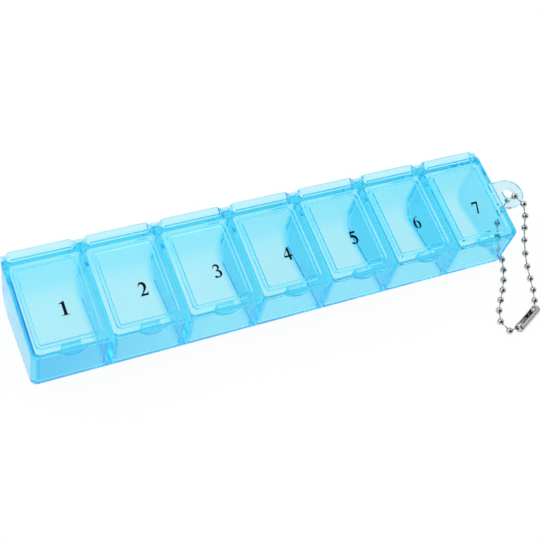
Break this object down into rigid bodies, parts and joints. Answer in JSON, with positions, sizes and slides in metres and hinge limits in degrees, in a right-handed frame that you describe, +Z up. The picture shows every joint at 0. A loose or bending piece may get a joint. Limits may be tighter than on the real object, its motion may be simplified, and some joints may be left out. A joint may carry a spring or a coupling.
{
  "type": "weekly pill box",
  "caption": "Long clear blue pill box: a sloped tray of day compartments, each under its own hinged snap lid with a thumb tab, and a ball chain loop in an end lug.",
  "frame": {"origin": "on the tray's base face, below the middle of the row of compartments", "axes": "+X along the days from the first lid to the chain lug, +Y from the thumb tabs to the hinges, +Z up"},
  "size_m": [0.16, 0.0559, 0.0208],
  "materials": {
    "blue_plastic": "clear blue, polished",
    "black_print": "black pad print",
    "nickel": "bright nickel plate"
  },
  "bodies": {
    "box": {"tray": "blue_plastic", "chain_bead_01": "nickel", "chain_bead_02": "nickel", "chain_bead_03": "nickel", "chain_bead_04": "nickel", "chain_bead_05": "nickel", "chain_bead_06": "nickel", "chain_bead_07": "nickel", "chain_bead_08": "nickel", "chain_bead_09": "nickel", "chain_bead_10": "nickel", "chain_bead_11": "nickel", "chain_bead_12": "nickel", "chain_bead_13": "nickel", "chain_bead_14": "nickel", "chain_bead_15": "nickel", "chain_bead_16": "nickel", "chain_bead_17": "nickel", "chain_bead_18": "nickel", "chain_bead_19": "nickel", "chain_bead_20": "nickel", "chain_bead_21": "nickel", "chain_bead_22": "nickel", "chain_bead_23": "nickel", "chain_bead_24": "nickel", "chain_bead_25": "nickel", "chain_link_01": "nickel", "chain_link_02": "nickel", "chain_link_03": "nickel", "chain_link_04": "nickel", "chain_link_05": "nickel", "chain_link_06": "nickel", "chain_link_07": "nickel", "chain_link_08": "nickel", "chain_link_09": "nickel", "chain_link_10": "nickel", "chain_link_11": "nickel", "chain_link_12": "nickel", "chain_link_13": "nickel", "chain_link_14": "nickel", "chain_link_15": "nickel", "chain_link_16": "nickel", "chain_link_17": "nickel", "chain_link_18": "nickel", "chain_link_19": "nickel", "chain_link_20": "nickel", "chain_link_21": "nickel", "chain_link_22": "nickel", "chain_link_23": "nickel", "chain_link_24": "nickel", "chain_connector": "nickel"},
    "day_1": {"lid_1": "blue_plastic"},
    "day_2": {"lid_2": "blue_plastic"},
    "day_3": {"lid_3": "blue_plastic"},
    "day_4": {"lid_4": "blue_plastic"},
    "day_5": {"lid_5": "blue_plastic"},
    "day_6": {"lid_6": "blue_plastic"},
    "day_7": {"lid_7": "blue_plastic"}
  },
  "joints": [
    {"name": "lid_1_hinge", "type": "hinge", "parent": "box", "child": "day_1", "pos_m": [-0.06429, 0.01431, 0.01928], "axis": [-1, 0, 0], "range_deg": [0, 180]},
    {"name": "lid_2_hinge", "type": "hinge", "parent": "box", "child": "day_2", "pos_m": [-0.04286, 0.01431, 0.01928], "axis": [-1, 0, 0], "range_deg": [0, 180]},
    {"name": "lid_3_hinge", "type": "hinge", "parent": "box", "child": "day_3", "pos_m": [-0.02143, 0.01431, 0.01928], "axis": [-1, 0, 0], "range_deg": [0, 180]},
    {"name": "lid_4_hinge", "type": "hinge", "parent": "box", "child": "day_4", "pos_m": [0, 0.01431, 0.01928], "axis": [-1, 0, 0], "range_deg": [0, 180]},
    {"name": "lid_5_hinge", "type": "hinge", "parent": "box", "child": "day_5", "pos_m": [0.02143, 0.01431, 0.01928], "axis": [-1, 0, 0], "range_deg": [0, 180]},
    {"name": "lid_6_hinge", "type": "hinge", "parent": "box", "child": "day_6", "pos_m": [0.04286, 0.01431, 0.01928], "axis": [-1, 0, 0], "range_deg": [0, 180]},
    {"name": "lid_7_hinge", "type": "hinge", "parent": "box", "child": "day_7", "pos_m": [0.06429, 0.01431, 0.01928], "axis": [-1, 0, 0], "range_deg": [0, 180]}
  ]
}
